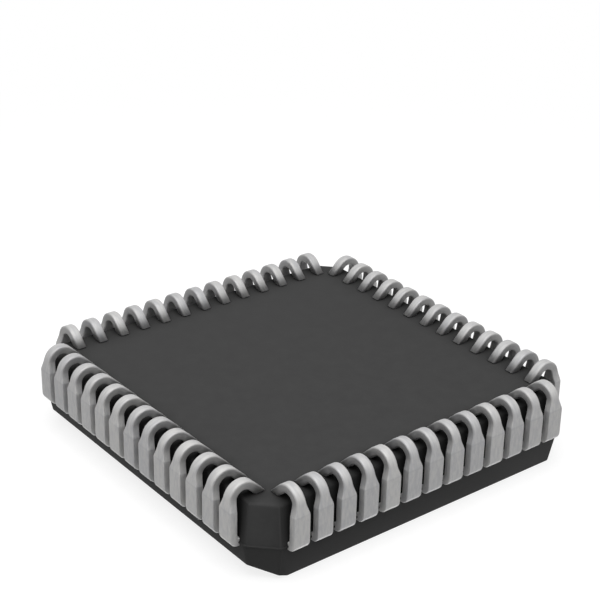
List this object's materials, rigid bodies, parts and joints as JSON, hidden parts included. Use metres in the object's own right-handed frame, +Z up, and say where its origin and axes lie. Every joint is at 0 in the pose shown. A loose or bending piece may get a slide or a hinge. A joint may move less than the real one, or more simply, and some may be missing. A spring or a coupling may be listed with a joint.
{
  "type": "plastic leaded chip carrier",
  "caption": "Square plastic leaded chip carrier: moulded body with a bevelled first-lead edge and faceted corners, J-shaped leads curled under all sides, die and bond wires sealed inside.",
  "frame": {"origin": "middle of the seating plane, which the lowest points of the curled leads touch", "axes": "+Z is up towards the top face; the bevelled side, with the first lead in its middle, faces -Y; +X is to the right of it seen from the top"},
  "size_m": [0.02, 0.02, 0.0046],
  "materials": {
    "moulding": "matte",
    "lead_plating": "satin",
    "paddle_copper": "satin",
    "attach_epoxy": "satin",
    "silicon": "gloss",
    "gold": "gloss"
  },
  "bodies": {
    "root": {"package_body": "moulding", "lead_01": "lead_plating", "lead_02": "lead_plating", "lead_03": "lead_plating", "lead_04": "lead_plating", "lead_05": "lead_plating", "lead_06": "lead_plating", "lead_07": "lead_plating", "lead_08": "lead_plating", "lead_09": "lead_plating", "lead_10": "lead_plating", "lead_11": "lead_plating", "lead_12": "lead_plating", "lead_13": "lead_plating", "lead_14": "lead_plating", "lead_15": "lead_plating", "lead_16": "lead_plating", "lead_17": "lead_plating", "lead_18": "lead_plating", "lead_19": "lead_plating", "lead_20": "lead_plating", "lead_21": "lead_plating", "lead_22": "lead_plating", "lead_23": "lead_plating", "lead_24": "lead_plating", "lead_25": "lead_plating", "lead_26": "lead_plating", "lead_27": "lead_plating", "lead_28": "lead_plating", "lead_29": "lead_plating", "lead_30": "lead_plating", "lead_31": "lead_plating", "lead_32": "lead_plating", "lead_33": "lead_plating", "lead_34": "lead_plating", "lead_35": "lead_plating", "lead_36": "lead_plating", "lead_37": "lead_plating", "lead_38": "lead_plating", "lead_39": "lead_plating", "lead_40": "lead_plating", "lead_41": "lead_plating", "lead_42": "lead_plating", "lead_43": "lead_plating", "lead_44": "lead_plating", "lead_45": "lead_plating", "lead_46": "lead_plating", "lead_47": "lead_plating", "lead_48": "lead_plating", "lead_49": "lead_plating", "lead_50": "lead_plating", "lead_51": "lead_plating", "lead_52": "lead_plating", "die_paddle": "paddle_copper", "die_attach": "attach_epoxy", "silicon_die": "silicon", "bond_wires": "gold"}
  },
  "joints": []
}
